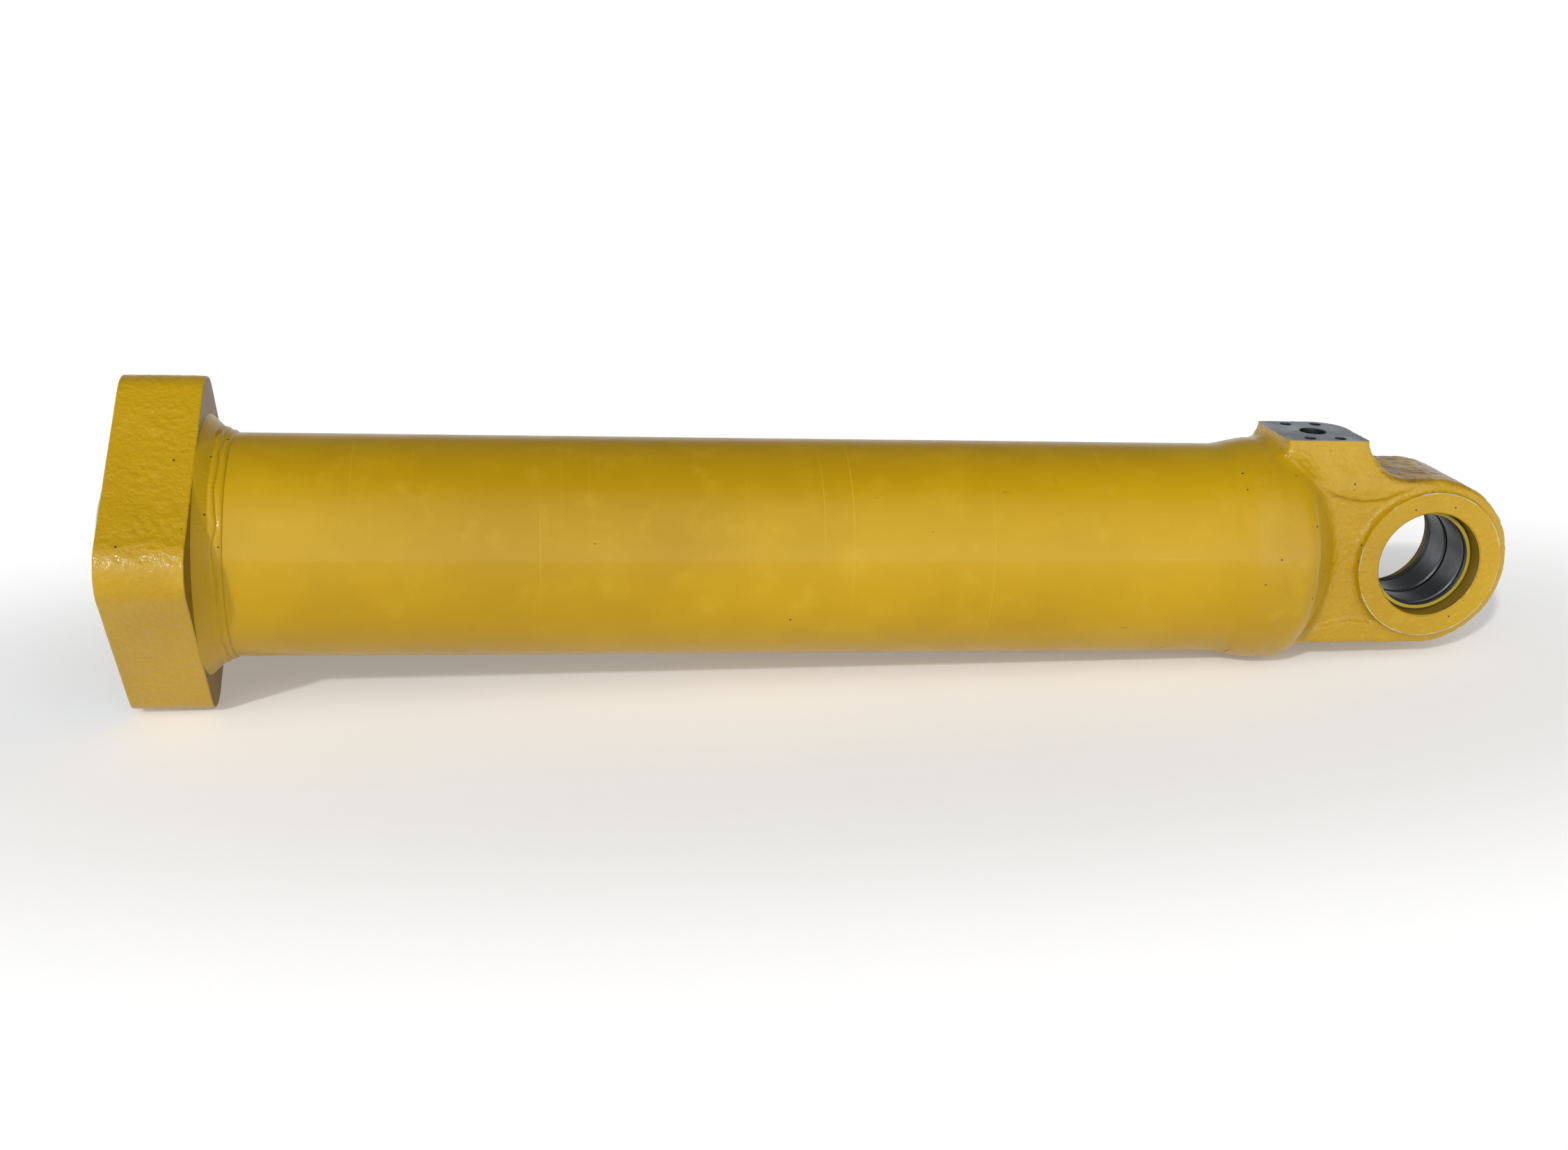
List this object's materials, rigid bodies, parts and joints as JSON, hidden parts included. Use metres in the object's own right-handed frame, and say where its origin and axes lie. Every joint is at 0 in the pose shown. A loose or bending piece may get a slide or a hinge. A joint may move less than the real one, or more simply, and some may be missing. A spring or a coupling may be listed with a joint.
{
  "type": "hydraulic cylinder",
  "caption": "Double-acting hydraulic cylinder: square-flanged barrel, flush gland, chromed rod, forged cap end with a bushed pin eye and a flanged port pad.",
  "frame": {"origin": "centre of the assembly's box with the rod retracted: on the cylinder's axis, halfway between the rod's end face and the far side of the pin eye", "axes": "+X along the cylinder's axis from the rod end to the pin eye, +Z out of the cap-end port face, Y along the eye's pin"},
  "size_m": [1.3026, 0.3, 0.3],
  "materials": {
    "yellow_paint": "glossy enamel over forged and machined steel",
    "machined_steel": "turned and ground, slightly oily",
    "painted_lip_seal": "lip seal face under overspray",
    "gland_iron": "machined",
    "black_oxide": "black oxide, satin",
    "rod_chrome": "hard chrome, ground and polished",
    "seal_rubber": "satin",
    "polyurethane": "satin",
    "bronze_ptfe": "matt",
    "fabric_phenolic": "matt"
  },
  "bodies": {
    "barrel": {"head_flange": "yellow_paint", "barrel_tube": "yellow_paint", "head_weld_bead": "yellow_paint", "cap_weld_bead": "yellow_paint", "cap_end_eye": "yellow_paint", "rod_port_block": "yellow_paint", "eye_bushing_near": "machined_steel", "eye_bushing_far": "machined_steel", "eye_seal_near": "painted_lip_seal", "eye_seal_far": "painted_lip_seal", "rod_gland": "gland_iron", "gland_bolt_01": "black_oxide", "gland_bolt_02": "black_oxide", "gland_bolt_03": "black_oxide", "gland_bolt_04": "black_oxide", "gland_bolt_05": "black_oxide", "gland_bolt_06": "black_oxide", "gland_bolt_07": "black_oxide", "gland_bolt_08": "black_oxide", "gland_bolt_09": "black_oxide", "gland_bolt_10": "black_oxide", "gland_bolt_11": "black_oxide", "gland_bolt_12": "black_oxide", "gland_o_ring": "seal_rubber", "rod_wiper": "polyurethane", "rod_seal": "polyurethane", "rod_seal_backup_ring": "bronze_ptfe", "rod_buffer_seal": "bronze_ptfe", "gland_backup_ring": "bronze_ptfe", "rod_guide_ring_front": "fabric_phenolic", "rod_guide_ring_rear": "fabric_phenolic"},
    "piston_rings": {"piston_seal": "bronze_ptfe", "piston_seal_energizer": "seal_rubber", "piston_wear_ring_front": "fabric_phenolic", "piston_wear_ring_rear": "fabric_phenolic", "piston_dust_ring_front": "bronze_ptfe", "piston_dust_ring_rear": "bronze_ptfe"},
    "rod": {"piston_rod": "rod_chrome", "piston": "gland_iron", "piston_nut": "black_oxide", "nut_lock_screw": "black_oxide", "piston_bore_o_ring": "seal_rubber"}
  },
  "joints": [
    {"name": "rod_slide", "type": "slide", "parent": "barrel", "child": "piston_rings", "axis": [-1, 0, 0], "range_m": [0, 0.735]},
    {"name": "rod_spin", "type": "hinge", "parent": "piston_rings", "child": "rod", "pos_m": [0, 0, 0], "axis": [1, 0, 0], "continuous": true}
  ]
}
